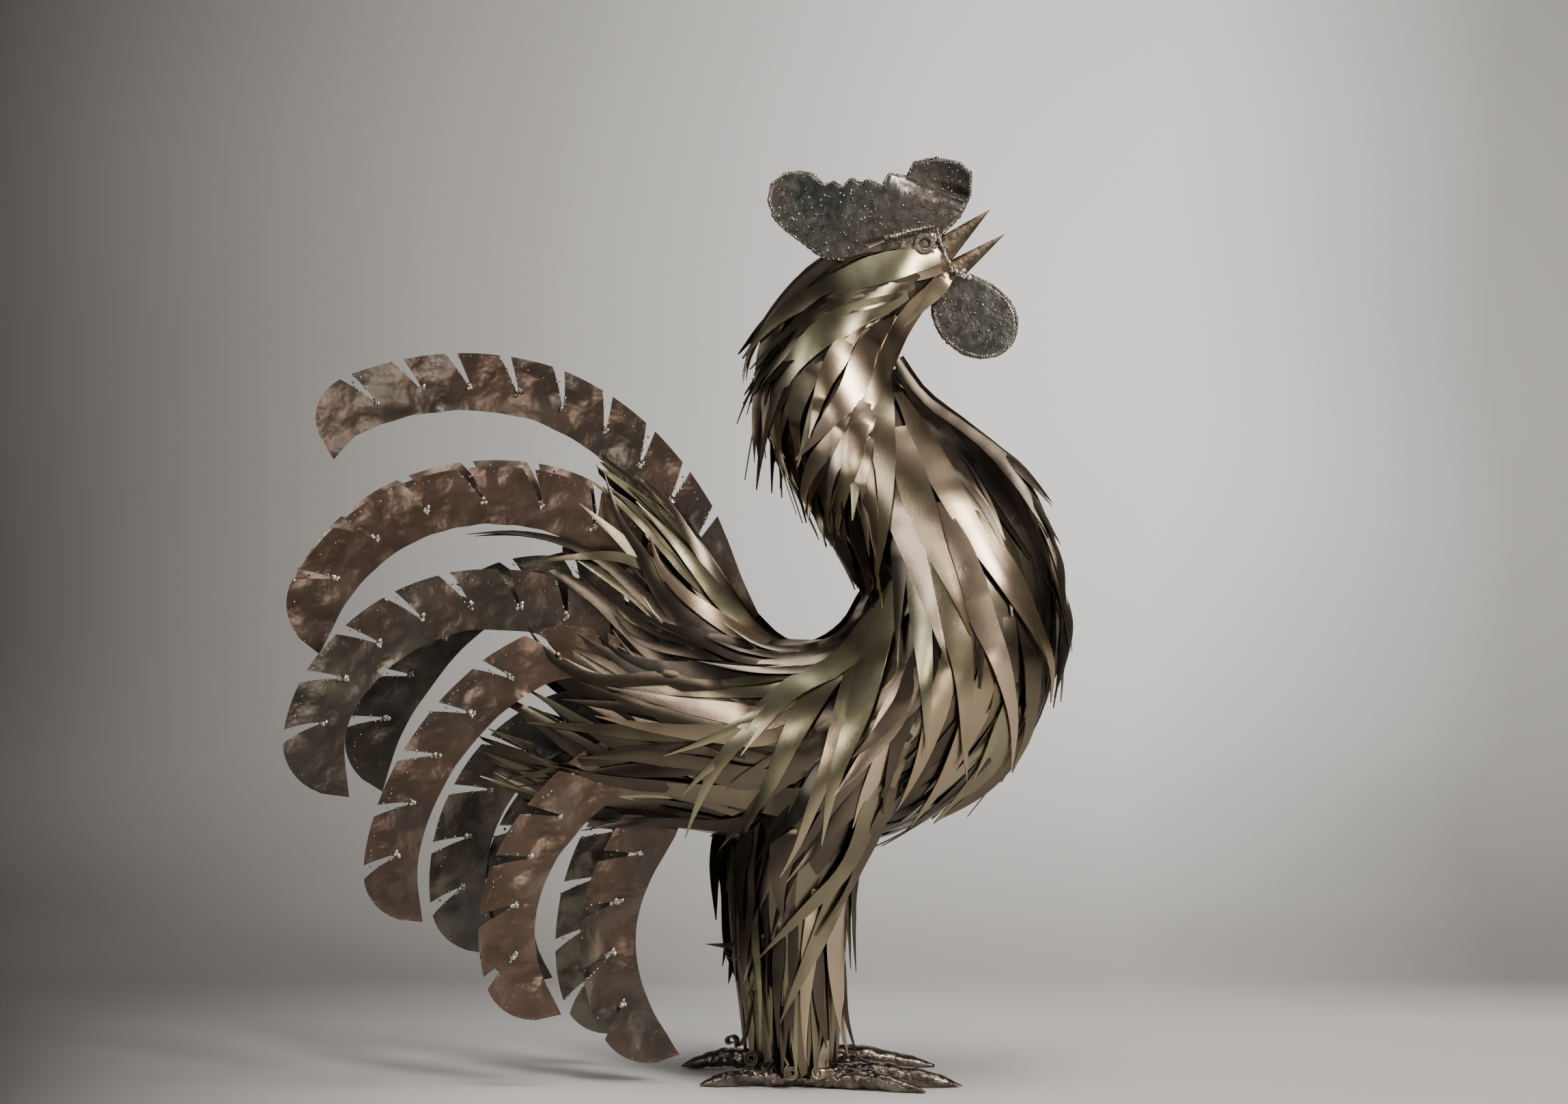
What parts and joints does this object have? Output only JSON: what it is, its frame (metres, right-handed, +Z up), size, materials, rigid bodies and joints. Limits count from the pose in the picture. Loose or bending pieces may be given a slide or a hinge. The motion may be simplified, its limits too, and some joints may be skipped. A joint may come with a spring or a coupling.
{
  "type": "scrap metal rooster sculpture",
  "caption": "Crowing rooster welded up from scrap steel, with feather strips, slit sickle tail plates, cut comb and wattles, nut eyes and weld-built feet",
  "frame": {"origin": "on the ground, below the middle of the part's outline seen from above", "axes": "+X the way the rooster faces, +Y its left side, +Z up"},
  "size_m": [0.6772, 0.2098, 0.8],
  "materials": {
    "feather_strips": "heat-tinted mill steel, clear coated",
    "leg_strips": "heat-tinted mill steel, clear coated",
    "comb_and_wattles": "skinned with beads of weld",
    "beak": "dark ground steel",
    "eye_nuts": "worn plain steel",
    "feet": "built up in weld",
    "tail_plates": "hammered, reddish heat tint",
    "offcuts": "olive heat tint"
  },
  "bodies": {
    "root": {"head_and_neck_strips": "feather_strips", "body_strips": "feather_strips", "comb": "comb_and_wattles", "wattle_right": "comb_and_wattles", "wattle_left": "comb_and_wattles", "upper_beak": "beak", "lower_beak": "beak", "eye_nut_right": "eye_nuts", "eye_nut_left": "eye_nuts", "leg_strips_right": "leg_strips", "leg_strips_left": "leg_strips", "spur_right": "beak", "spur_left": "beak", "foot_right": "feet", "foot_left": "feet", "ankle_curl_back": "offcuts", "ankle_curl_low": "offcuts", "foot_curl": "offcuts", "foot_tube": "offcuts", "tail_top_sickle": "tail_plates", "tail_upper_right": "tail_plates", "tail_upper_left": "tail_plates", "tail_middle_right": "tail_plates", "tail_middle_left": "tail_plates", "tail_lower_right": "tail_plates", "tail_lower_left": "tail_plates", "tail_low_right": "tail_plates", "tail_low_left": "tail_plates", "tail_end_right": "tail_plates", "tail_end_left": "tail_plates"}
  },
  "joints": []
}
